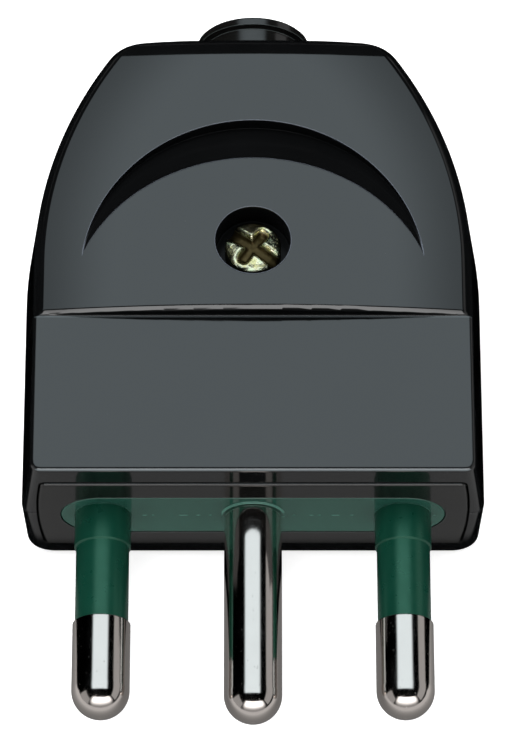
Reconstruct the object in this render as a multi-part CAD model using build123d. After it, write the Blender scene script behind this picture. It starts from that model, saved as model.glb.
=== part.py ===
from build123d import *
from math import radians, sqrt, tan
import os

# A rewirable grounded mains plug with three round pins in line, lying on its back.
# X runs across the plug, +Y from the pins to the cord end and +Z up out of the front.
# The origin is on the axis of the earth pin, in the plane of the engagement face.
# The two halves of the casing part at z = 0. All sizes are in millimetres.

# Pins
pin_d = 5.0
pin_spacing = 26.0
pin_length = 19.0
earth_pin_length = 19.4
pin_neck_d = 3.4
pin_root_d = 4.6
pin_flange_d = 6.4
pin_flange_length = 1.5

# Insulating sleeves on the two outer pins
sleeve_d = 4.6
sleeve_end = 10.4
collar_d = 4.9
collar_length = 3.25
collar_edge = 0.12

# Green plate round the pins
plate_past_pins = 3.65
plate_height = 6.9
plate_depth = 1.6
plate_gap = 0.08
plate_edge = 0.15
rim_d = 5.5
rim_height = 0.15
rim_gap = 0.05

# Carrier of the contacts, seen as the black field round the plate
carrier_past_plate = 2.0
carrier_height = 12.2
carrier_side_bulge = 0.45
carrier_depth = 6.0
carrier_edge = 0.25
carrier_corner = 0.5
carrier_gap = 0.12
flange_lip = 0.7
flange_depth = 2.4

# Casing outline in the parting plane
face_step = 0.2
side_past_carrier = 1.45
body_length = 43.8
side_straight = 20.3
side_radius = 36.5
end_radius = 95.0
corner_radius = 5.6
wall = 1.8
face_wall = 2.0
front_draft = 7.0
rear_draft = 2.0

# Casing heights
front_margin = 2.6
rear_margin = 2.6
step_at = 15.0
step_drop = 1.4
step_edge = 0.38
crown_radius = 150.0
front_edge = 0.6
face_edge = 0.45
roll_radius = 2.5
roll_extent = 2.18
rear_edge = 2.4
nose_edge = 1.0

# Finger grip on the front, between two arcs
grip_radius = 15.0
grip_inner_radius = 13.6
grip_from_end = 10.14
grip_width = 3.81
grip_depth = 1.5

# Terminals and their screws
terminal_width = 7.2
terminal_height = 7.6
terminal_length = 9.0
terminal_edge = 0.3
wire_bore_d = 3.2
terminal_screw_d = 3.0
terminal_screw_length = 4.6
terminal_screw_tip = 0.2
terminal_screw_inset = 3.2
terminal_slot = 0.6
neck_in_terminal = 2.6
bore_bottom = 0.8
partition = 1.2

# Screw that holds the halves together, and its nut
screw_at = 21.7
screw_d = 3.0
screw_head_d = 4.9
screw_head_height = 1.9
screw_head_dome = 8.0
screw_recess_d = 6.6
screw_recess_edge = 0.2
screw_head_sink = 0.84
screw_past_nut = 1.4
boss_wall = 1.5
nut_across_flats = 5.5
nut_height = 2.4
slot_width = 0.75
slot_depth = 0.9
cross_width = 0.62
cross_length = 3.1
slot_turn = -36.0

# Cord outlet and clamp
cord_d = 8.0
grommet_wall = 0.55
grommet_ring_step = 0.5
grommet_ring_edge = 0.2
grommet_ring_length = 1.0
grommet_reach = 3.48
grommet_flange_step = 1.25
grommet_flange_length = 1.6
grommet_from_end = 4.0
pad_wall = 1.3
clamp_from_end = 8.6
clamp_length = 4.0
clamp_side = 0.8
clamp_seat = 1.2
clamp_plate = 2.2
clamp_wall = 1.6
clamp_screw_d = 2.9
clamp_screw_length = 7.5
clamp_head_d = 4.8
clamp_head_height = 1.6
clamp_head_edge = 0.5
clamp_slot = 0.7
clamp_boss_d = 5.4
clamp_overhang = 0.3

# Locating pegs between the halves
peg_d = 2.0
peg_length = 1.8
peg_boss_d = 4.2
peg_at = 27.5
peg_from_middle = 13.5

# Clearances, and a length larger than the plug for cutting through it
running_gap = 0.1
screw_end_gap = 0.5
reach = 200.0

# Places and sizes that follow from the ones above
half_pins = pin_spacing / 2
pin_places = {"live": -half_pins, "earth": 0.0, "neutral": half_pins}
plate_width = pin_spacing + 2 * plate_past_pins
carrier_width = plate_width + 2 * carrier_past_plate
body_width = carrier_width + 2 * side_past_carrier
step_height = carrier_height / 2 + front_margin
crown_height = step_height + step_drop
rear_depth = carrier_height / 2 + rear_margin
front_slope = tan(radians(front_draft))
rear_slope = tan(radians(rear_draft))
ceiling = step_height - wall
floor_depth = rear_depth - wall
chamber_start = face_step + face_wall
terminal_end = carrier_depth + terminal_length
terminal_screw_at = terminal_end - terminal_screw_inset
head_top = crown_height - screw_head_sink
head_seat = head_top - screw_head_height
boss_d = screw_recess_d + 2 * boss_wall
grommet_neck_d = cord_d + 2 * grommet_wall
grommet_ring_d = grommet_neck_d + 2 * grommet_ring_step
grommet_flange_d = grommet_neck_d + 2 * grommet_flange_step
grommet_start = body_length - grommet_from_end
clamp_at = body_length - clamp_from_end
clamp_half_spacing = cord_d / 2 + clamp_side + clamp_boss_d / 2
clamp_top = clamp_seat + clamp_plate
pad_start = grommet_start - pad_wall


def bar(x_size, y_from, y_to, z_from, z_to, x_at=0.0):
    """Straight block between two places along Y and Z."""
    place = Pos(x_at, (y_from + y_to) / 2, (z_from + z_to) / 2)
    return place * Box(x_size, y_to - y_from, z_to - z_from)


def rod_y(diameter, y_from, y_to, x_at=0.0):
    """Round rod along Y at the height of the parting plane."""
    place = Pos(x_at, (y_from + y_to) / 2, 0) * Rot(90, 0, 0)
    return place * Cylinder(diameter / 2, y_to - y_from)


def rod_z(diameter, z_from, z_to, x_at=0.0, y_at=0.0):
    """Round rod along Z."""
    return Pos(x_at, y_at, (z_from + z_to) / 2) * Cylinder(diameter / 2, z_to - z_from)


def corner_of_arcs(half, side_r, length, end_r):
    """Meeting point, at +X, of the side arc and the arc across the cord end."""
    side_centre = Vector(half - side_r, side_straight)
    end_centre = Vector(0, length - end_r)
    line = end_centre - side_centre
    along = (line.length**2 + side_r**2 - end_r**2) / (2 * line.length)
    across = sqrt(side_r**2 - along**2)
    unit = line.normalized()
    left = Vector(-unit.Y, unit.X)
    points = [side_centre + unit * along + left * across * turn for turn in (1, -1)]
    return max(points, key=lambda point: point.X)


def casing_outline(inset):
    """Plan of the casing at the parting plane, drawn in from the outside by inset."""
    half = body_width / 2 - inset
    side_r = side_radius - inset
    end_r = end_radius - inset
    length = body_length - inset
    corner = corner_of_arcs(half, side_r, length, end_r)
    middle_x = (half + corner.X) / 2
    middle_y = side_straight + sqrt(side_r**2 - (middle_x - half + side_r) ** 2)
    start = -body_length / 2
    right = Line((half, start), (half, side_straight))
    right_arc = ThreePointArc((half, side_straight), (middle_x, middle_y), (corner.X, corner.Y))
    end_arc = ThreePointArc((corner.X, corner.Y), (0, length), (-corner.X, corner.Y))
    left_arc = right_arc.mirror(Plane.YZ)
    left = right.mirror(Plane.YZ)
    base = Line((-half, start), (half, start))
    outline = make_face([right, right_arc, end_arc, left_arc, left, base])
    corners = outline.vertices().sort_by(Axis.Y)[-2:]
    return fillet(corners, corner_radius - inset)


def drafted(inset, height, start, slope):
    """Casing plan raised with draft, and cut square at the pin end."""
    top = Pos(0, 0, height) * casing_outline(inset + height * slope)
    solid = loft([casing_outline(inset), top], ruled=True)
    return solid - bar(reach, -reach, start, -reach, reach)


def carrier_outline(grow, lip=0.0):
    """Outline of the carrier seen from the pins, with its sides bulged a little."""
    half_width = carrier_width / 2 + grow
    corner_x = half_width - carrier_side_bulge
    top = carrier_height / 2 + grow + lip
    upper = Line((-corner_x, top), (corner_x, top))
    lower = Line((corner_x, -top), (-corner_x, -top))
    right = ThreePointArc((corner_x, top), (half_width, 0), (corner_x, -top))
    left = ThreePointArc((-corner_x, -top), (-half_width, 0), (-corner_x, top))
    outline = make_face([upper, right, lower, left])
    return fillet(outline.vertices(), carrier_corner)


def along_y(outline, y_from, y_to):
    """Outline drawn across and up, made solid between two places along Y."""
    placed = Pos(0, y_from, 0) * (Plane.XZ * outline)
    return extrude(placed, amount=y_to - y_from, dir=(0, 1, 0))


def crown_form():
    """Barrel whose top is the crowned front, rolled over towards the cord end."""
    roll_start = body_length - crown_height * front_slope - roll_extent
    barrel_end = roll_start + roll_radius
    profile = Pos(barrel_end / 2, crown_radius / 2) * Rectangle(barrel_end, crown_radius)
    rim = profile.vertices().sort_by(Axis.X)[-2:].sort_by(Axis.Y)[-1]
    core_radius = crown_radius - roll_radius
    core = Pos(body_length / 2, core_radius / 2) * Rectangle(body_length, core_radius)
    barrel = revolve(fillet(rim, roll_radius), Axis.X) + revolve(core, Axis.X)
    return Pos(0, 0, crown_height - crown_radius) * Rot(0, 0, 90) * barrel


def edges_between(solid, y_from, y_to, z_from, z_to):
    """Edges that lie wholly between two places along Y and Z."""
    margin = 0.001

    def inside(edge):
        box = edge.bounding_box()
        along = box.min.Y > y_from - margin and box.max.Y < y_to + margin
        return along and box.min.Z > z_from - margin and box.max.Z < z_to + margin

    return solid.edges().filter_by(inside)


def front_outside():
    """Outside of the front half: crowned behind the step and flat beside the pins."""
    block = drafted(0, crown_height + step_drop, face_step, front_slope)
    upper = (block & crown_form()) - bar(reach, -reach, step_at, -reach, reach)
    top = upper.faces().filter_by(GeomType.CYLINDER).sort_by(SortBy.AREA)[-1]
    roll = upper.faces().filter_by(GeomType.TORUS).sort_by(SortBy.AREA)[-1]
    border = [edge for edge in top.edges() + roll.edges() if edge.center().Y > step_at + front_edge]
    border = [edge for edge in border if not (edge in top.edges() and edge in roll.edges())]
    upper = fillet(border, front_edge)
    brow = edges_between(upper, step_at, step_at, step_height, crown_height).sort_by(SortBy.LENGTH)[-1]
    upper = fillet(brow, step_edge)
    lower = block & bar(reach, face_step, step_at, 0, step_height)
    sides = edges_between(lower, face_step, face_step, 0, step_height).filter_by(Axis.X, reverse=True)
    lower = fillet(sides, nose_edge)
    rim = edges_between(lower, face_step, step_at, step_height, step_height)
    lower = fillet([edge for edge in rim if edge.center().Y < step_at - face_edge], face_edge)
    return upper + lower


def rear_outside():
    """Outside of the rear half, with its plain flat back."""
    block = mirror(drafted(0, rear_depth, face_step, rear_slope), about=Plane.XY)
    back = edges_between(block, face_step, body_length, -rear_depth, -rear_depth)
    block = fillet([edge for edge in back if edge.center().Y > face_step + rear_edge], rear_edge)
    return fillet(edges_between(block, face_step, face_step, -rear_depth, -rear_depth), nose_edge)


def chamber(height, slope):
    """Room inside one half of the casing."""
    return drafted(wall, height, chamber_start, slope)


def outlet_pad(height):
    """Thickened end of one half, that holds the flange of the grommet."""
    return bar(grommet_flange_d + 2 * pad_wall, pad_start, body_length - wall, 0, height)


def outlet_cuts():
    """Hole for the neck of the grommet and the groove for its flange."""
    groove_end = grommet_start + grommet_flange_length + running_gap
    groove = rod_y(grommet_flange_d + 2 * running_gap, grommet_start - running_gap, groove_end)
    return rod_y(grommet_neck_d, pad_start - 1, reach) + groove


def carrier_seat():
    """Opening for the carrier in the pin end, with the room behind it."""
    opening = along_y(carrier_outline(carrier_gap), -1, carrier_depth + carrier_gap)
    behind = carrier_outline(carrier_gap - carrier_side_bulge, flange_lip)
    return opening + along_y(behind, chamber_start, chamber_start + flange_depth + carrier_gap)


def carrier_rib(height):
    """Rib behind the flange of the carrier, that keeps it from moving back."""
    start = chamber_start + flange_depth + carrier_gap
    return bar(plate_width, start, carrier_depth, 0, height)


def grip():
    """Crescent for the fingers: a wall that faces the pins, and a floor that slopes to it."""
    outer_top = body_length - grip_from_end
    inner_top = outer_top - grip_width
    slope = grip_depth / grip_width
    low = crown_height - 2 * grip_depth
    high = crown_height + grip_depth
    ramp_low = grip_inner_radius + 2 * grip_depth / slope
    ramp_high = grip_inner_radius - grip_depth / slope
    ramp_place = Pos(0, inner_top - grip_inner_radius, (low + high) / 2)
    ramp = ramp_place * Cone(ramp_low, ramp_high, high - low)
    return rod_z(2 * grip_radius, low, high, 0, outer_top - grip_radius) - ramp


def front_shell():
    """Front half of the casing."""
    shell = front_outside() - grip()
    shell = shell - (chamber(ceiling, front_slope) - carrier_rib(ceiling) - outlet_pad(ceiling))
    shell = shell + rod_z(boss_d, 0, ceiling + wall / 2, 0, screw_at)
    shell = shell - rod_z(screw_recess_d, head_seat, reach, 0, screw_at)
    shell = shell - rod_z(screw_d + 2 * running_gap, -1, reach, 0, screw_at)
    for side in (-1, 1):
        peg_x = side * peg_from_middle
        shell = shell + rod_z(peg_boss_d, 0, ceiling + wall / 2, peg_x, peg_at)
        shell = shell - rod_z(peg_d + 2 * running_gap, -1, peg_length + screw_end_gap, peg_x, peg_at)
    shell = shell - carrier_seat() - outlet_cuts()
    return shell & bar(reach, -reach, reach, 0, reach)


def nut_outline(grow):
    """Hexagon of the nut in plan."""
    return RegularPolygon(nut_across_flats / 2 + grow, 6, major_radius=False)


def rear_shell():
    """Rear half of the casing, with the bosses for the screws and the rests inside."""
    room = mirror(chamber(floor_depth, rear_slope), about=Plane.XY)
    pad = mirror(outlet_pad(floor_depth), about=Plane.XY)
    rib = mirror(carrier_rib(floor_depth), about=Plane.XY)
    shell = rear_outside() - (room - rib - pad)
    root = -floor_depth - wall / 2
    shell = shell + rod_z(boss_d, root, 0, 0, screw_at)
    pocket = Pos(0, screw_at, -nut_height) * extrude(nut_outline(running_gap), amount=nut_height + 1)
    screw_bottom = -nut_height - screw_past_nut - screw_end_gap
    shell = shell - pocket - rod_z(screw_d + 2 * running_gap, screw_bottom, 0, 0, screw_at)
    for side in (-1, 1):
        peg_x = side * peg_from_middle
        shell = shell + rod_z(peg_boss_d, root, 0, peg_x, peg_at)
        shell = shell + rod_z(peg_d, root, peg_length, peg_x, peg_at)
        wall_x = side * half_pins / 2
        shell = shell + bar(partition, carrier_depth, terminal_end, root, 0, wall_x)
        clamp_x = side * clamp_half_spacing
        shell = shell + rod_z(clamp_boss_d, root, clamp_seat, clamp_x, clamp_at)
    saddle = bar(2 * clamp_half_spacing, *clamp_span(), root, 0) - rod_y(cord_d, *clamp_span())
    shell = shell + saddle
    for side in (-1, 1):
        bottom = clamp_top - clamp_screw_length - screw_end_gap
        shell = shell - rod_z(clamp_screw_d, bottom, reach, side * clamp_half_spacing, clamp_at)
    rest_start = carrier_depth + carrier_gap
    for place in pin_places.values():
        shell = shell + bar(terminal_width, rest_start, terminal_end, root, -terminal_height / 2, place)
    return shell - mirror(carrier_seat(), about=Plane.XY) - outlet_cuts()


def clamp_span():
    """Where the cord clamp starts and ends along Y."""
    return clamp_at - clamp_length / 2, clamp_at + clamp_length / 2


def contact_carrier():
    """Moulded block that holds the contacts and shows round the green plate."""
    behind = carrier_outline(-carrier_side_bulge, flange_lip - running_gap)
    flange = along_y(behind, chamber_start, chamber_start + flange_depth)
    block = along_y(carrier_outline(0), 0, carrier_depth)
    rim = block.faces().sort_by(Axis.Y)[0].edges()
    block = fillet(rim, carrier_edge) + flange
    pocket = along_y(SlotOverall(plate_width + 2 * plate_gap, plate_height + 2 * plate_gap), -1, plate_depth)
    block = block - pocket
    for name, place in pin_places.items():
        hole_d = pin_root_d if name == "earth" else collar_d
        flange_start = carrier_depth - pin_flange_length
        block = block - rod_y(hole_d, 0, carrier_depth, place)
        block = block - rod_y(pin_flange_d, flange_start, carrier_depth + 1, place)
    return block


def sleeve_plate():
    """Green plate round the pins, with a low rim round the earth pin."""
    plate = along_y(SlotOverall(plate_width, plate_height), 0, plate_depth)
    edge = plate.faces().sort_by(Axis.Y)[0].edges()
    plate = fillet(edge, plate_edge) + rod_y(rim_d, -rim_height, plate_depth)
    for name, place in pin_places.items():
        hole_d = pin_root_d if name == "earth" else collar_d
        plate = plate - rod_y(hole_d, -1, plate_depth + 1, place)
    return plate


def turned(profile, place):
    """Piece turned about an axis along Y, from half its section as seen from above."""
    return Pos(place, 0, 0) * revolve(make_face(profile), Axis.Y)


def pin_profile(length, steps):
    """Half section of a pin: a round tip, then each diameter up to its place along Y."""
    radius = pin_d / 2
    centre = radius - length
    lean = radius * sqrt(0.5)
    lines = [ThreePointArc((0, -length), (lean, centre - lean), (radius, centre))]
    corner = (radius, centre)
    for diameter, y_to in steps:
        if diameter / 2 != corner[0]:
            lines.append(Line(corner, (diameter / 2, corner[1])))
        lines.append(Line((diameter / 2, corner[1]), (diameter / 2, y_to)))
        corner = (diameter / 2, y_to)
    return lines + [Line(corner, (0, corner[1])), Line((0, corner[1]), (0, -length))]


def outer_pin(place):
    """Live or neutral pin: a bare tip, and a neck that runs back through the sleeve."""
    steps = [(pin_d, -sleeve_end), (pin_neck_d, carrier_depth + neck_in_terminal)]
    return turned(pin_profile(pin_length, steps), place)


def earth_pin():
    """Middle pin, bare to its root, with a flange inside the carrier."""
    steps = [
        (pin_d, -rim_height - rim_gap),
        (pin_root_d, carrier_depth - pin_flange_length),
        (pin_flange_d, carrier_depth),
        (pin_neck_d, carrier_depth + neck_in_terminal),
    ]
    return turned(pin_profile(earth_pin_length, steps), pin_places["earth"])


def pin_sleeve(place):
    """Insulating sleeve, wider at its root and flanged inside the carrier."""
    flange_start = carrier_depth - pin_flange_length
    points = [
        (pin_neck_d / 2, -sleeve_end),
        (sleeve_d / 2, -sleeve_end),
        (sleeve_d / 2, -collar_length),
        (collar_d / 2, collar_edge - collar_length),
        (collar_d / 2, flange_start),
        (pin_flange_d / 2, flange_start),
        (pin_flange_d / 2, carrier_depth),
        (pin_neck_d / 2, carrier_depth),
    ]
    return turned(Polyline(*points, close=True), place)


def terminal(place):
    """Brass block with a bore for the wire and a threaded hole for its screw."""
    half_height = terminal_height / 2
    block = bar(terminal_width, carrier_depth, terminal_end, -half_height, half_height, place)
    block = chamfer(block.edges().filter_by(Axis.Y), terminal_edge)
    neck_end = carrier_depth + neck_in_terminal
    block = block - rod_y(pin_neck_d, carrier_depth - 1, neck_end, place)
    block = block - rod_y(wire_bore_d, neck_end + bore_bottom, terminal_end + 1, place)
    return block - rod_z(terminal_screw_d, 0, reach, place, terminal_screw_at)


def slotted(width, depth, top, x_at, y_at, turn=0.0):
    """Cutter for a screwdriver slot whose mouth is at top."""
    cutter = Box(reach / 10, width, 2 * depth)
    return Pos(x_at, y_at, top) * Rot(0, 0, turn) * cutter


def terminal_screw(place):
    """Slotted screw without a head, that presses on the wire."""
    top = terminal_screw_tip + terminal_screw_length
    screw = rod_z(terminal_screw_d, terminal_screw_tip, top, place, terminal_screw_at)
    return screw - slotted(terminal_slot, terminal_slot, top, place, terminal_screw_at)


def assembly_screw():
    """Screw through both halves, with a domed head that takes both kinds of driver."""
    head = rod_z(screw_head_d, head_seat, head_top, 0, screw_at)
    dome = Pos(0, screw_at, head_top - screw_head_dome) * Sphere(screw_head_dome)
    head = head & dome
    head = head - slotted(slot_width, slot_depth, head_top, 0, screw_at, slot_turn)
    cross = Pos(0, screw_at, head_top) * Rot(0, 0, slot_turn + 90)
    head = head - cross * Box(cross_length, cross_width, 2 * slot_depth)
    return head + rod_z(screw_d, -nut_height - screw_past_nut, head_seat, 0, screw_at)


def assembly_nut():
    """Nut held in the rear half."""
    nut = Pos(0, screw_at, -nut_height) * extrude(nut_outline(0), amount=nut_height)
    return nut - rod_z(screw_d, -reach, reach, 0, screw_at)


def cord_clamp():
    """Strap over the cord, arched in the middle and screwed down at both ends."""
    half_width = clamp_half_spacing + clamp_boss_d / 2 + clamp_overhang
    strap = bar(2 * half_width, *clamp_span(), clamp_seat, clamp_top)
    strap = fillet(strap.edges().filter_by(Axis.Z), clamp_length / 4)
    arch = rod_y(cord_d + 2 * clamp_wall, *clamp_span()) & bar(reach, *clamp_span(), clamp_seat, reach)
    strap = strap + arch - rod_y(cord_d, 0, reach)
    for side in (-1, 1):
        strap = strap - rod_z(clamp_screw_d, 0, reach, side * clamp_half_spacing, clamp_at)
    return strap


def clamp_screw(side):
    """One of the two screws of the cord clamp."""
    place = side * clamp_half_spacing
    top = clamp_top + clamp_head_height
    head = rod_z(clamp_head_d, clamp_top, top, place, clamp_at)
    head = chamfer(head.edges().sort_by(Axis.Z)[-1], clamp_head_edge)
    head = head - slotted(clamp_slot, clamp_slot, top, place, clamp_at)
    return head + rod_z(clamp_screw_d, clamp_top - clamp_screw_length, clamp_top, place, clamp_at)


def cord_grommet():
    """Collar at the cord outlet, held in a groove between the halves."""
    end = body_length + grommet_reach
    flange_end = grommet_start + grommet_flange_length
    ring_start = end - grommet_ring_length
    edge = grommet_ring_edge
    points = [
        (cord_d / 2, grommet_start),
        (grommet_flange_d / 2, grommet_start),
        (grommet_flange_d / 2, flange_end),
        (grommet_neck_d / 2, flange_end),
        (grommet_neck_d / 2, ring_start),
        (grommet_ring_d / 2, ring_start + edge),
        (grommet_ring_d / 2, end - edge),
        (grommet_ring_d / 2 - edge, end),
        (cord_d / 2 + edge, end),
        (cord_d / 2, end - edge),
    ]
    return turned(Polyline(*points, close=True), 0)


parts = {
    "front_shell": front_shell(),
    "rear_shell": rear_shell(),
    "assembly_screw": assembly_screw(),
    "assembly_nut": assembly_nut(),
    "contact_carrier": contact_carrier(),
    "sleeve_plate": sleeve_plate(),
    "live_pin": outer_pin(pin_places["live"]),
    "neutral_pin": outer_pin(pin_places["neutral"]),
    "earth_pin": earth_pin(),
    "live_pin_sleeve": pin_sleeve(pin_places["live"]),
    "neutral_pin_sleeve": pin_sleeve(pin_places["neutral"]),
    "cord_clamp": cord_clamp(),
    "cord_clamp_screw_left": clamp_screw(-1),
    "cord_clamp_screw_right": clamp_screw(1),
    "cord_grommet": cord_grommet(),
}
for name, place in pin_places.items():
    parts[name + "_terminal"] = terminal(place)
    parts[name + "_terminal_screw"] = terminal_screw(place)

os.makedirs("parts", exist_ok=True)
for name, solid in parts.items():
    export_step(solid, "parts/" + name + ".step")
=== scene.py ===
from math import cos, hypot, pi, radians, sin

import bpy
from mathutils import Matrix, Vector


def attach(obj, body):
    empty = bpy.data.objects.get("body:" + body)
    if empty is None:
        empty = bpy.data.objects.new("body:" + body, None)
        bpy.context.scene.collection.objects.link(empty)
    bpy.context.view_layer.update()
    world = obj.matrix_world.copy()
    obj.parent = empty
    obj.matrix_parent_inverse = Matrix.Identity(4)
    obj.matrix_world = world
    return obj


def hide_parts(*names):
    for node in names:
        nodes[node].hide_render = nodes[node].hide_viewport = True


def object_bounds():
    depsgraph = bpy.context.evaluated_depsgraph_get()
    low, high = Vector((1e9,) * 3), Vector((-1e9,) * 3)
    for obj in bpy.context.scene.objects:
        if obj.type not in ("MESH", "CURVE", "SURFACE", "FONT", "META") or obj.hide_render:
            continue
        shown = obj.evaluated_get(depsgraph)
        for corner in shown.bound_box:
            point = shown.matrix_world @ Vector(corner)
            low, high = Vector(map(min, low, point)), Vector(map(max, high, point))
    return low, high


# The looks of the grounded plug. X runs across it, +Y from the pins to the cord end, and
# +Z up out of its front. It lies on its flat back. The stage is in metres. The materials
# and the screw are worked out in millimetres.

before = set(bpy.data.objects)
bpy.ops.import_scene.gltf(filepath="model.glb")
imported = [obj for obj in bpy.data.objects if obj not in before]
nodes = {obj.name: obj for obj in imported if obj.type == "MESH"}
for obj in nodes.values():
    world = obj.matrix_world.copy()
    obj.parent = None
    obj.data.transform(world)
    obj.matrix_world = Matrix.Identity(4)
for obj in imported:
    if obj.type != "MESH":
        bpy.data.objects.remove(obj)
cad_low, cad_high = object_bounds()
MM = 0.001

# Casing, in millimetres, as the CAD draws it
HALF_WIDTH = 20.1
CROWN_HEIGHT = 10.1
CROWN_RADIUS = 150.0
SIDE_STRAIGHT = 20.3
SIDE_RADIUS = 36.5
FACE_HEIGHT = 8.7
STEP_AT = 15.0

# Area round the finger grip, in millimetres, a little wider and longer than the grip itself
GRIP_HALF_WIDTH = 16.4
GRIP_END = 34.0

# Worn assembly screw, in millimetres. It takes the place of the CAD's plainer screw
SCREW_AT = 21.7
SCREW_TOP = 9.26
SCREW_DOME = 8.0
HEAD_RADIUS = 2.44
HEAD_SEAT = 7.37
HEAD_ROLL = 0.22
HEAD_SINK = 0.06
DENT_DEPTH = 0.05
SHANK_RADIUS = 1.49
SHANK_END = -3.79
STEPS_AROUND = 96
HEAD_RINGS = 30

# Slots of the screw. Each pair says where a wall starts and where it reaches the floor
SLOT_TURN = radians(-36.0)
SLOT_DEPTH = 0.85
SLOT_SIDES = (0.78, 0.22)
CROSS_SIDES = (0.72, 0.18)
CROSS_ENDS = (2.15, 1.35)

# Stage: lengths in metres, and the power of the lamp in watts
FLOOR_AT = cad_low.z
FLOOR_HALF = 3.0
REFLECTOR_HALF = 0.7
REFLECTOR_SINK = 0.0001
WORLD_STRENGTH = 0.85
KEY_SIZE = 0.5
KEY_POWER = 6.0
KEY_PLACE = Vector((-0.15, 0.15, 0.9))

# Camera: its place in metres, its elevation in degrees, its lens and sensor in millimetres
CAMERA_PLACE = (0.0, -0.1675, 0.3634)
CAMERA_ELEVATION = 63.5
CAMERA_LENS = 221.8
SENSOR_WIDTH = 36.0

WHITE = (1.0, 1.0, 1.0)


class Look:
    """A material under construction, with short calls for its nodes."""

    def __init__(self, name):
        self.material = bpy.data.materials.new(name)
        self.material.use_nodes = True
        self.tree = self.material.node_tree
        self.shader = self.tree.nodes["Principled BSDF"]
        coordinates = self.node("TexCoord").outputs["Object"]
        self.place = self.math_vector("MULTIPLY", coordinates, (1 / MM,) * 3)

    def node(self, kind, **values):
        made = self.tree.nodes.new("ShaderNode" + kind)
        for key, value in values.items():
            setattr(made, key, value)
        return made

    def put(self, socket, value):
        """Links a socket, or sets a plain number or colour on it."""
        if isinstance(value, bpy.types.NodeSocket):
            self.tree.links.new(value, socket)
        else:
            socket.default_value = value

    def math(self, operation, a, b=0.0, clamp=False):
        made = self.node("Math", operation=operation, use_clamp=clamp)
        self.put(made.inputs[0], a)
        self.put(made.inputs[1], b)
        return made.outputs[0]

    def times(self, first, *others):
        """Product of several values."""
        for value in others:
            first = self.math("MULTIPLY", first, value)
        return first

    def plus(self, a, b, clamp=True):
        return self.math("ADD", a, b, clamp)

    def less(self, a, b):
        return self.math("SUBTRACT", a, b)

    def size(self, value):
        """Value without its sign."""
        return self.math("ABSOLUTE", value)

    def math_vector(self, operation, a, b=(0.0, 0.0, 0.0), output="Vector"):
        made = self.node("VectorMath", operation=operation)
        self.put(made.inputs[0], a)
        self.put(made.inputs[1], b)
        return made.outputs[output]

    def length(self, x, y):
        """Length of a flat vector."""
        return self.math_vector("LENGTH", self.join(x, y, 0.0), output="Value")

    def split(self, vector):
        made = self.node("SeparateXYZ")
        self.put(made.inputs[0], vector)
        return made.outputs

    def join(self, x, y, z):
        made = self.node("CombineXYZ")
        for socket, value in zip(made.inputs, (x, y, z)):
            self.put(socket, value)
        return made.outputs[0]

    def noise(self, scale, detail=3.0, roughness=0.5, stretch=(1.0, 1.0, 1.0)):
        """Noise with this many cells to the millimetre."""
        made = self.node("TexNoise")
        self.put(made.inputs["Vector"], self.math_vector("MULTIPLY", self.place, stretch))
        made.inputs["Scale"].default_value = scale
        made.inputs["Detail"].default_value = detail
        made.inputs["Roughness"].default_value = roughness
        return made.outputs["Fac"]

    def specks(self, scale, rim, middle, patches, low, high):
        """Scattered specks, kept to patches of the surface."""
        made = self.node("TexVoronoi")
        self.put(made.inputs["Vector"], self.place)
        made.inputs["Scale"].default_value = scale
        spots = self.smooth(made.outputs["Distance"], rim, middle)
        return self.times(spots, self.smooth(patches, low, high))

    def smooth(self, value, low, high, to_low=0.0, to_high=1.0):
        """Value eased from one range to another."""
        made = self.node("MapRange", interpolation_type="SMOOTHSTEP")
        keys = ("From Min", "From Max", "To Min", "To Max")
        for key, number in zip(keys, (low, high, to_low, to_high)):
            made.inputs[key].default_value = number
        self.put(made.inputs["Value"], value)
        return made.outputs["Result"]

    def ramp(self, value, *stops):
        """Colours along a value, each given as its place and its colour."""
        made = self.node("ValToRGB")
        while len(made.color_ramp.elements) < len(stops):
            made.color_ramp.elements.new(0.5)
        for element, (where, colour) in zip(made.color_ramp.elements, stops):
            element.position = where
            element.color = (*colour, 1.0)
        self.put(made.inputs[0], value)
        return made.outputs[0]

    def blend(self, share, a, b):
        made = self.node("Mix", data_type="RGBA")
        self.put(made.inputs["Factor"], share)
        for socket, value in ((made.inputs[6], a), (made.inputs[7], b)):
            self.put(socket, value if isinstance(value, bpy.types.NodeSocket) else (*value, 1.0))
        return made.outputs[2]

    def lay(self, colour, share, amount, tone):
        """Colour with a tone laid over it where the share says, at most by the amount."""
        return self.blend(self.times(share, amount), colour, tone)

    def rounded(self, radius):
        """Normal with the sharp edges softened."""
        made = self.node("Bevel", samples=6)
        made.inputs["Radius"].default_value = radius * MM
        return made.outputs["Normal"]

    def edges(self, radius, low, high):
        """Share that is 1 on the sharp edges and 0 on the faces between them."""
        face = self.node("NewGeometry").outputs["Normal"]
        turn = self.math_vector("DOT_PRODUCT", self.rounded(radius), face, output="Value")
        return self.smooth(self.less(1.0, turn), low, high)

    def leaned(self, normal, direction, share):
        """Normal turned towards a direction by a share."""
        kept = self.math_vector("SCALE", normal)
        self.put(kept.node.inputs["Scale"], self.less(1.0, share))
        added = self.math_vector("SCALE", direction)
        self.put(added.node.inputs["Scale"], share)
        return self.math_vector("NORMALIZE", self.math_vector("ADD", kept, added))

    def bump(self, height, depth, normal=None):
        """Normal tilted by a height, whose whole range is depth millimetres."""
        made = self.node("Bump")
        made.inputs["Strength"].default_value = 1.0
        made.inputs["Distance"].default_value = depth * MM
        self.put(made.inputs["Height"], height)
        if normal is not None:
            self.put(made.inputs["Normal"], normal)
        return made.outputs["Normal"]

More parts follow.
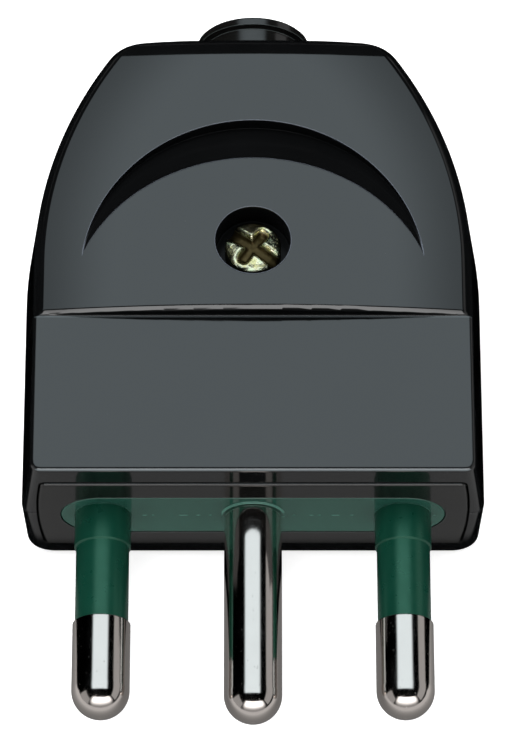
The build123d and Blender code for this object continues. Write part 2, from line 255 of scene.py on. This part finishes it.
    def finish(self, colour, roughness, normal, metallic=0.0, specular=0.5):
        self.put(self.shader.inputs["Base Color"], colour)
        self.put(self.shader.inputs["Roughness"], roughness)
        self.put(self.shader.inputs["Normal"], normal)
        self.put(self.shader.inputs["Specular IOR Level"], specular)
        self.shader.inputs["Metallic"].default_value = metallic
        return self.material


def inwards_from_side(look, x, y):
    """Distance in from the casing's side outline at the parting plane."""
    side_y = look.math("MAXIMUM", look.less(y, SIDE_STRAIGHT), 0.0)
    side_x = look.less(look.size(x), HALF_WIDTH - SIDE_RADIUS)
    return look.less(SIDE_RADIUS, look.length(side_x, side_y))


def depth_under_crown(look, x, z):
    """Depth under the crowned front, above 0 where something is cut into it."""
    fall = look.math("DIVIDE", look.times(x, x), 2 * CROWN_RADIUS)
    return look.less(look.less(CROWN_HEIGHT, fall), z)


def side_border(look, y, z, inwards):
    """Height that drops along the side edges of the crown, and nowhere else."""
    border = look.smooth(inwards, 1.1, 2.0)
    border = look.plus(border, look.smooth(y, STEP_AT + 0.2, STEP_AT - 0.2))
    return look.plus(border, look.smooth(z, 0.0, -0.05))


def step_wall(look, y, z, inwards):
    """Share of the step between the two levels of the front, brow included."""
    return look.times(
        look.smooth(y, STEP_AT + 0.62, STEP_AT + 0.22),
        look.smooth(y, STEP_AT - 0.06, STEP_AT - 0.02),
        look.smooth(z, FACE_HEIGHT + 0.06, FACE_HEIGHT + 0.20),
        look.smooth(inwards, 1.7, 2.1),
    )


def sunk_zone(look, x, y, z, depth):
    """Share of the finger grip and the screw recess."""
    return look.times(
        look.smooth(depth, 0.06, 0.25),
        look.smooth(look.size(x), GRIP_HALF_WIDTH + 0.2, GRIP_HALF_WIDTH - 0.2),
        look.smooth(y, GRIP_END, GRIP_END - 0.2),
        look.smooth(y, STEP_AT + 2.4, STEP_AT + 2.8),
        look.smooth(z, 6.5, 6.6),
    )


def rim_highlights(look, x, y, depth):
    """Share of painted highlights on the sharp rims round the finger grip and the screw recess."""
    return look.times(
        look.edges(0.12, 0.003, 0.03),
        look.smooth(depth, 0.15, 0.05),
        look.smooth(y, STEP_AT + 1.0, STEP_AT + 1.4),
        look.smooth(y, GRIP_END + 0.4, GRIP_END),
        look.smooth(look.size(x), GRIP_HALF_WIDTH, GRIP_HALF_WIDTH - 0.8),
    )


def face_highlights(look, y, z):
    """Share of painted highlights where the flat of the front ends: at the pin face and the step."""
    lip = look.times(look.smooth(y, 0.43, 0.36), look.smooth(z, FACE_HEIGHT - 0.30, FACE_HEIGHT - 0.23))
    foot = look.times(
        look.smooth(y, STEP_AT - 0.22, STEP_AT - 0.14),
        look.smooth(y, STEP_AT - 0.01, STEP_AT - 0.05),
        look.smooth(z, FACE_HEIGHT - 0.2, FACE_HEIGHT - 0.1),
    )
    return look.plus(lip, look.times(foot, 0.4), clamp=False)


def shell_black():
    """High-gloss moulded black: faint flow, dust and rub marks, and a fine parting line."""
    look = Look("shell_black")
    x, y, z = look.split(look.place)
    inwards = inwards_from_side(look, x, y)
    depth = depth_under_crown(look, x, z)
    step = step_wall(look, y, z, inwards)
    brow = look.times(step, look.smooth(depth, 0.28, 0.16))
    riser = look.times(step, look.smooth(depth, 0.16, 0.30))
    sunk = sunk_zone(look, x, y, z, depth)
    seam = look.smooth(look.size(z), 0.02, 0.13)

    towards_pins = (0.0, -0.682, 0.731)
    normal = look.bump(side_border(look, y, z, inwards), 0.45, look.rounded(0.16))
    normal = look.leaned(normal, towards_pins, brow)
    normal = look.bump(look.noise(0.55, 2.0, 0.4), 0.004, normal)
    normal = look.bump(look.noise(9.0, 3.0, 0.6), 0.0004, normal)
    normal = look.bump(seam, 0.08, normal)

    cloud = look.noise(0.12, 4.0, 0.55)
    dust = look.specks(1.1, 0.035, 0.02, look.noise(0.3), 0.52, 0.7)
    colour = look.blend(cloud, (0.0018, 0.0020, 0.0022), (0.0042, 0.0045, 0.0048))
    colour = look.lay(colour, dust, 0.35, (0.10, 0.11, 0.11))
    colour = look.blend(seam, (0.0005, 0.0005, 0.0005), colour)
    # Painted highlight: pale bluish lines laid on the rims of the finger grip and the screw recess.
    colour = look.lay(colour, rim_highlights(look, x, y, depth), 0.85, (0.15, 0.17, 0.21))
    # Painted highlight: pale lines laid along the lip of the pin face and the foot of the step.
    colour = look.lay(colour, face_highlights(look, y, z), 0.8, (0.10, 0.12, 0.13))

    rubs = look.smooth(look.noise(2.2, 4.0, 0.7, (1.0, 0.08, 1.0)), 0.58, 0.8)
    rough = look.smooth(cloud, 0.3, 0.75, 0.055, 0.11)
    for share, amount in ((rubs, 0.05), (sunk, 0.12), (dust, 0.3)):
        rough = look.plus(rough, look.times(share, amount))

    fall = look.times(look.smooth(inwards, 1.2, 8.5, 1.0, 0.0), look.smooth(y, STEP_AT, STEP_AT + 0.4))
    gloss = look.less(0.9, look.times(fall, 0.42))
    for share in (sunk, riser):
        gloss = look.times(gloss, look.less(1.0, look.times(share, 0.9)))
    return look.finish(colour, rough, normal, specular=gloss)


def moulded_black(name, rough_low, rough_high, specular, edge):
    """Dark moulded plastic of the smaller pieces: grain, painted edge highlights and a little dust."""
    look = Look(name)
    normal = look.bump(look.noise(0.7, 2.0, 0.4), 0.003, look.rounded(edge))
    normal = look.bump(look.noise(11.0, 4.0, 0.65), 0.0012, normal)
    cloud = look.noise(0.25, 5.0, 0.6)
    dust = look.specks(1.6, 0.05, 0.03, look.noise(0.5), 0.5, 0.7)
    colour = look.blend(cloud, (0.0035, 0.0035, 0.0033), (0.0075, 0.0075, 0.0070))
    colour = look.lay(colour, dust, 0.4, (0.12, 0.12, 0.11))
    # Painted highlight: a pale cool tone laid along the sharp edges.
    colour = look.lay(colour, look.edges(edge, 0.01, 0.12), 0.6, (0.11, 0.13, 0.13))
    rough = look.smooth(cloud, 0.3, 0.7, rough_low, rough_high)
    rough = look.plus(rough, look.times(dust, 0.3))
    return look.finish(colour, rough, normal, specular=specular)


def plate_green():
    """Polished green plate round the pins, with a broken moulding line along its middle."""
    look = Look("plate_green")
    z = look.split(look.place)[2]
    cloud = look.noise(0.35, 4.0, 0.6)
    speck = look.specks(2.3, 0.07, 0.04, look.noise(0.8), 0.55, 0.7)
    gaps = look.smooth(look.noise(0.9, 1.0, 0.5, (1.0, 0.0, 0.0)), 0.40, 0.48)
    off_line = look.math("MAXIMUM", look.smooth(look.size(z), 0.02, 0.09), gaps)
    # Painted highlight: a pale mint line laid along the plate's upper edges.
    rim = look.times(look.edges(0.16, 0.02, 0.2), look.smooth(z, 0.0, 1.0))
    colour = look.blend(cloud, (0.0120, 0.0560, 0.0400), (0.0190, 0.0800, 0.0590))
    colour = look.lay(colour, speck, 0.35, (0.16, 0.30, 0.24))
    colour = look.lay(colour, rim, 0.9, (0.24, 0.52, 0.42))
    colour = look.blend(off_line, (0.11, 0.24, 0.20), colour)
    normal = look.bump(off_line, 0.03, look.rounded(0.12))
    normal = look.bump(look.noise(1.2, 2.0, 0.5), 0.003, normal)
    normal = look.bump(look.noise(14.0, 3.0, 0.6), 0.0008, normal)
    rough = look.smooth(cloud, 0.3, 0.7, 0.10, 0.17)
    return look.finish(colour, rough, normal, specular=0.7)


def sleeve_green():
    """Satin green sleeve: drawn along its length, with a fine sparkling grain."""
    look = Look("sleeve_green")
    cloud = look.noise(0.6, 5.0, 0.62, (1.0, 0.35, 1.0))
    speck = look.specks(3.2, 0.10, 0.05, look.noise(1.3), 0.54, 0.66)
    colour = look.blend(cloud, (0.0010, 0.0270, 0.0160), (0.0024, 0.0440, 0.0270))
    colour = look.lay(colour, speck, 0.30, (0.10, 0.32, 0.22))
    normal = look.bump(look.noise(3.0, 2.0, 0.5, (1.0, 0.15, 1.0)), 0.0035, look.rounded(0.1))
    normal = look.bump(look.noise(9.0, 4.0, 0.7), 0.0045, normal)
    rough = look.smooth(look.noise(1.0, 3.0), 0.3, 0.7, 0.27, 0.34)
    look.shader.inputs["Specular Tint"].default_value = (0.45, 1.0, 0.72, 1.0)
    return look.finish(colour, rough, normal, specular=0.85)


def pin_nickel():
    """Bright nickel plating: tiny pits, hairlines from use and a slightly warm tone."""
    look = Look("pin_nickel")
    cloud = look.noise(0.4, 4.0, 0.6)
    pits = look.specks(2.6, 0.11, 0.06, look.noise(0.9, 2.0), 0.47, 0.60)
    colour = look.blend(cloud, (0.655, 0.60, 0.565), (0.725, 0.67, 0.63))
    colour = look.lay(colour, pits, 0.35, (0.30, 0.28, 0.25))
    normal = look.bump(look.noise(0.45, 2.0, 0.5, (1.0, 0.4, 1.0)), 0.005, look.rounded(0.12))
    normal = look.bump(look.noise(9.0, 3.0, 0.6, (1.0, 0.03, 1.0)), 0.0006, normal)
    normal = look.bump(pits, -0.012, normal)
    wear = look.smooth(look.noise(0.8, 5.0, 0.7, (1.0, 0.3, 1.0)), 0.45, 0.75)
    rough = look.smooth(cloud, 0.3, 0.7, 0.08, 0.12)
    rough = look.plus(rough, look.times(wear, 0.06))
    return look.finish(colour, rough, normal, metallic=1.0)


def screw_yellow():
    """Zinc with a yellow passivation that shimmers green, gold and a little purple."""
    look = Look("screw_yellow")
    x, y, z = look.split(look.place)
    off = look.length(x, look.less(y, SCREW_AT))
    dome = look.math("DIVIDE", look.times(off, off), 2 * SCREW_DOME)
    slot = look.smooth(look.less(look.less(SCREW_TOP, dome), z), 0.35, 0.70)
    colour = look.ramp(
        look.noise(0.85, 4.0, 0.65),
        (0.28, (0.46, 0.50, 0.28)),
        (0.40, (0.80, 0.72, 0.36)),
        (0.50, (0.98, 0.92, 0.66)),
        (0.58, (0.70, 0.82, 0.52)),
        (0.66, (0.88, 0.70, 0.46)),
        (0.78, (0.62, 0.44, 0.40)),
    )
    stain = look.smooth(look.noise(3.2, 5.0, 0.7), 0.50, 0.70)
    colour = look.lay(colour, stain, 0.3, (0.20, 0.16, 0.07))
    # Painted shade: the slots are darkened by their depth below the dome.
    colour = look.blend(slot, colour, (0.11, 0.08, 0.035))
    normal = look.bump(look.noise(0.75, 2.0, 0.5), 0.14, look.rounded(0.22))
    normal = look.bump(look.noise(2.4, 4.0, 0.65), 0.05, normal)
    normal = look.bump(look.noise(9.0, 4.0, 0.7), 0.008, normal)
    rough = look.smooth(look.noise(2.0, 4.0), 0.3, 0.7, 0.10, 0.22)
    rough = look.plus(rough, look.times(slot, 0.3))
    return look.finish(colour, rough, normal, metallic=1.0)


def turned_metal(name, dark, light, rough_low, rough_high):
    """Plain turned or milled metal of the inner pieces, with tool marks and stains."""
    look = Look(name)
    cloud = look.noise(0.7, 5.0, 0.65)
    stain = look.smooth(look.noise(2.5, 5.0, 0.7), 0.55, 0.75)
    colour = look.blend(cloud, dark, light)
    colour = look.lay(colour, stain, 0.4, tuple(value * 0.4 for value in dark))
    normal = look.bump(look.noise(6.0, 3.0, 0.6, (1.0, 0.1, 1.0)), 0.004, look.rounded(0.1))
    rough = look.smooth(cloud, 0.3, 0.7, rough_low, rough_high)
    return look.finish(colour, rough, normal, metallic=1.0)


materials = {
    "shell_black": shell_black(),
    "carrier_black": moulded_black("carrier_black", 0.09, 0.16, 0.8, 0.12),
    "clamp_black": moulded_black("clamp_black", 0.25, 0.40, 0.5, 0.2),
    "grommet_black": moulded_black("grommet_black", 0.10, 0.20, 0.8, 0.12),
    "plate_green": plate_green(),
    "sleeve_green": sleeve_green(),
    "pin_nickel": pin_nickel(),
    "screw_yellow": screw_yellow(),
    "screw_steel": turned_metal("screw_steel", (0.36, 0.36, 0.35), (0.55, 0.55, 0.54), 0.22, 0.38),
    "terminal_brass": turned_metal("terminal_brass", (0.55, 0.38, 0.14), (0.74, 0.55, 0.24), 0.20, 0.36),
}
worn = {
    "shell_black": ["front_shell", "rear_shell"],
    "carrier_black": ["contact_carrier"],
    "clamp_black": ["cord_clamp"],
    "grommet_black": ["cord_grommet"],
    "plate_green": ["sleeve_plate"],
    "sleeve_green": ["live_pin_sleeve", "neutral_pin_sleeve"],
    "pin_nickel": ["live_pin", "neutral_pin", "earth_pin"],
    "screw_yellow": ["assembly_screw"],
    "screw_steel": [
        "live_terminal_screw",
        "earth_terminal_screw",
        "neutral_terminal_screw",
        "cord_clamp_screw_left",
        "cord_clamp_screw_right",
    ],
    "terminal_brass": ["live_terminal", "earth_terminal", "neutral_terminal", "assembly_nut"],
}
for name, pieces in worn.items():
    for piece in pieces:
        for slot in nodes[piece].material_slots:
            slot.material = materials[name]


def eased(value, low, high):
    """Share from 0 to 1 of the way between two values, with soft ends."""
    share = min(max((value - low) / (high - low), 0.0), 1.0)
    return share * share * (3.0 - 2.0 * share)


def head_height(x, y):
    """Height of the screw's worn head, in millimetres, at a place seen from its axis."""
    along = x * cos(SLOT_TURN) + y * sin(SLOT_TURN)
    over = y * cos(SLOT_TURN) - x * sin(SLOT_TURN)
    off = hypot(x, y)
    slot = eased(abs(over), *SLOT_SIDES)
    cross = eased(abs(along), *CROSS_SIDES) * eased(off, *CROSS_ENDS)
    dents = DENT_DEPTH * sin(2.3 * x + 1.1) * cos(1.9 * y - 0.6)
    dome = off * off / (2 * SCREW_DOME) + HEAD_ROLL * (off / HEAD_RADIUS) ** 3
    return SCREW_TOP - dome - SLOT_DEPTH * max(slot, cross) + dents - HEAD_SINK


def screw_corners():
    """Rings of corners from the middle of the head, out over it and down to the shank's end."""
    turns = [2 * pi * step / STEPS_AROUND for step in range(STEPS_AROUND)]
    outline = [(cos(turn), sin(turn)) for turn in turns]
    corners = [(0.0, 0.0, head_height(0.0, 0.0))]
    for ring in range(1, HEAD_RINGS + 1):
        radius = HEAD_RADIUS * ring / HEAD_RINGS
        corners += [(radius * u, radius * v, head_height(radius * u, radius * v)) for u, v in outline]
    below = ((HEAD_RADIUS, HEAD_SEAT), (SHANK_RADIUS, HEAD_SEAT), (SHANK_RADIUS, SHANK_END))
    for radius, height in below:
        corners += [(radius * u, radius * v, height) for u, v in outline]
    return corners + [(0.0, 0.0, SHANK_END)]


def screw_faces(last):
    """Faces between the rings, closed by a fan at each end. Last is the number of the last corner."""
    after = [(step + 1) % STEPS_AROUND for step in range(STEPS_AROUND)]
    faces = [(0, 1 + step, 1 + after[step]) for step in range(STEPS_AROUND)]
    foot = last - STEPS_AROUND
    for inner in range(1, foot, STEPS_AROUND):
        outer = inner + STEPS_AROUND
        for step in range(STEPS_AROUND):
            faces.append((inner + step, outer + step, outer + after[step], inner + after[step]))
    return faces + [(foot + after[step], foot + step, last) for step in range(STEPS_AROUND)]


def screw_with_head():
    """The assembly screw with domed lobes between its slots, in one closed mesh."""
    corners = screw_corners()
    places = [Vector((x, y + SCREW_AT, z)) * MM for x, y, z in corners]
    mesh = bpy.data.meshes.new("assembly_screw_worn")
    mesh.from_pydata(places, [], screw_faces(len(corners) - 1))
    for number, face in enumerate(mesh.polygons):
        face.use_smooth = number < STEPS_AROUND * HEAD_RINGS
    mesh.materials.append(materials["screw_yellow"])
    made = bpy.data.objects.new("assembly_screw_worn", mesh)
    bpy.context.scene.collection.objects.link(made)
    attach(made, "root")
    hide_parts("assembly_screw")


def card(name, spans, see, material):
    """Flat stage piece: two of its spans are pairs and the third is one place. Only some rays see it."""
    corners = []
    for turns in ((0, 0), (1, 0), (1, 1), (0, 1)):
        end = iter(turns)
        corners.append([span[next(end)] if isinstance(span, tuple) else span for span in spans])
    mesh = bpy.data.meshes.new(name)
    mesh.from_pydata([Vector(corner) for corner in corners], [], [(0, 1, 2, 3)])
    made = bpy.data.objects.new(name, mesh)
    bpy.context.scene.collection.objects.link(made)
    for kind in ("camera", "diffuse", "glossy", "transmission", "shadow", "volume_scatter"):
        setattr(made, "visible_" + kind, kind in see)
    made.data.materials.append(material)


def glow(name, strength, tint=WHITE):
    """Material that only gives light. Strength is a number, or a function of the look."""
    look = Look(name)
    look.tree.nodes.remove(look.shader)
    light = look.node("Emission")
    light.inputs["Color"].default_value = (*tint, 1.0)
    look.put(light.inputs["Strength"], strength(look) if callable(strength) else strength)
    output = look.tree.nodes["Material Output"]
    look.put(output.inputs["Surface"], light.outputs[0])
    return look.material


def overhead_light(look):
    """Light of the box overhead, in millimetres across it: very soft sides, and soft ends."""
    x, y, _ = look.split(look.place)
    sides = look.times(look.smooth(x, -590.0, -400.0), look.smooth(x, 515.0, 325.0))
    ends = look.times(look.smooth(y, -200.0, -170.0), look.smooth(y, 620.0, 590.0))
    return look.times(sides, ends, 1.28)


def front_light(look):
    """Light of the box in front: strong high up, and fading to the horizon and the ends."""
    x, _, z = look.split(look.place)
    ends = look.times(look.smooth(x, -600.0, -330.0), look.smooth(x, 850.0, 430.0))
    return look.times(look.smooth(z, 60.0, 420.0, 0.35, 2.9), ends)


def floor_light(look):
    """Light that the pale floor throws back: dimmer close to the pins, none beside the casing."""
    x, y, _ = look.split(look.place)
    off_x = look.math("MAXIMUM", look.less(look.size(x), 14.0), 0.0)
    off_y = look.math("MAXIMUM", look.less(-17.0, y), 0.0)
    strength = look.smooth(look.length(off_x, off_y), 0.0, 45.0, 0.20, 0.62)
    beside = look.times(look.smooth(y, -2.0, -1.0), look.smooth(y, 420.0, 360.0))
    return look.times(strength, look.less(1.0, beside))


def pale_paper():
    """Matt white paper with a faint tooth, a little bright by itself so that shadows stay soft."""
    look = Look("pale_paper")
    tone = look.blend(look.noise(0.02, 2.0), (0.90, 0.90, 0.90), (0.93, 0.93, 0.93))
    look.shader.inputs["Emission Color"].default_value = (*WHITE, 1.0)
    look.shader.inputs["Emission Strength"].default_value = 0.65
    return look.finish(tone, 0.9, look.bump(look.noise(3.0), 0.002), specular=0.1)


def studio():
    """Boxes and cards that the gloss reflects, a pale floor, and an even world."""
    cool = (0.81, 0.94, 1.0)
    below = FLOOR_AT - REFLECTOR_SINK
    around = (-REFLECTOR_HALF, REFLECTOR_HALF)
    wide = (-FLOOR_HALF, FLOOR_HALF)
    lights = (
        ("overhead_box", ((-0.60, 0.52), (-0.21, 0.63), 0.8), glow("overhead_light", overhead_light, cool)),
        ("front_box", ((-0.60, 0.85), -0.7, (-0.02, 0.66)), glow("front_light", front_light)),
        ("right_card", (0.8, (-0.6, 0.9), (0.10, 0.60)), glow("right_light", 0.42)),
        ("left_card", (-0.8, (-0.9, -0.15), (0.0, 0.5)), glow("left_light", 0.38)),
        ("floor_reflector", (around, around, below), glow("floor_reflector_light", floor_light)),
    )
    for title, spans, material in lights:
        card(title, spans, {"glossy"}, material)
    card("floor", (wide, wide, FLOOR_AT), {"camera", "diffuse", "shadow"}, pale_paper())
    world = bpy.data.worlds.new("studio")
    bpy.context.scene.world = world
    world.use_nodes = True
    background = world.node_tree.nodes["Background"]
    background.inputs["Color"].default_value = (*WHITE, 1.0)
    background.inputs["Strength"].default_value = WORLD_STRENGTH
    world.cycles_visibility.glossy = False
    world.cycles_visibility.camera = False


def key_light():
    """Soft lamp above, that lights the floor and the matt colours but isn't reflected."""
    data = bpy.data.lights.new("key", "AREA")
    data.shape = "RECTANGLE"
    data.size, data.size_y = KEY_SIZE, KEY_SIZE
    data.energy = KEY_POWER
    key = bpy.data.objects.new("key", data)
    key.location = KEY_PLACE
    key.rotation_euler = (-KEY_PLACE).to_track_quat("-Z", "Y").to_euler()
    key.visible_glossy = False
    bpy.context.scene.collection.objects.link(key)


def view():
    """Camera of the photo: high in front of the pins, through a long lens."""
    data = bpy.data.cameras.new("camera")
    data.sensor_width = SENSOR_WIDTH
    data.lens = CAMERA_LENS
    data.clip_start, data.clip_end = 0.01, 20.0
    camera = bpy.data.objects.new("camera", data)
    camera.location = CAMERA_PLACE
    camera.rotation_euler = (radians(90 - CAMERA_ELEVATION), 0.0, 0.0)
    bpy.context.scene.collection.objects.link(camera)
    bpy.context.scene.camera = camera
    bpy.context.scene.view_settings.view_transform = "Standard"


screw_with_head()
studio()
key_light()
view()
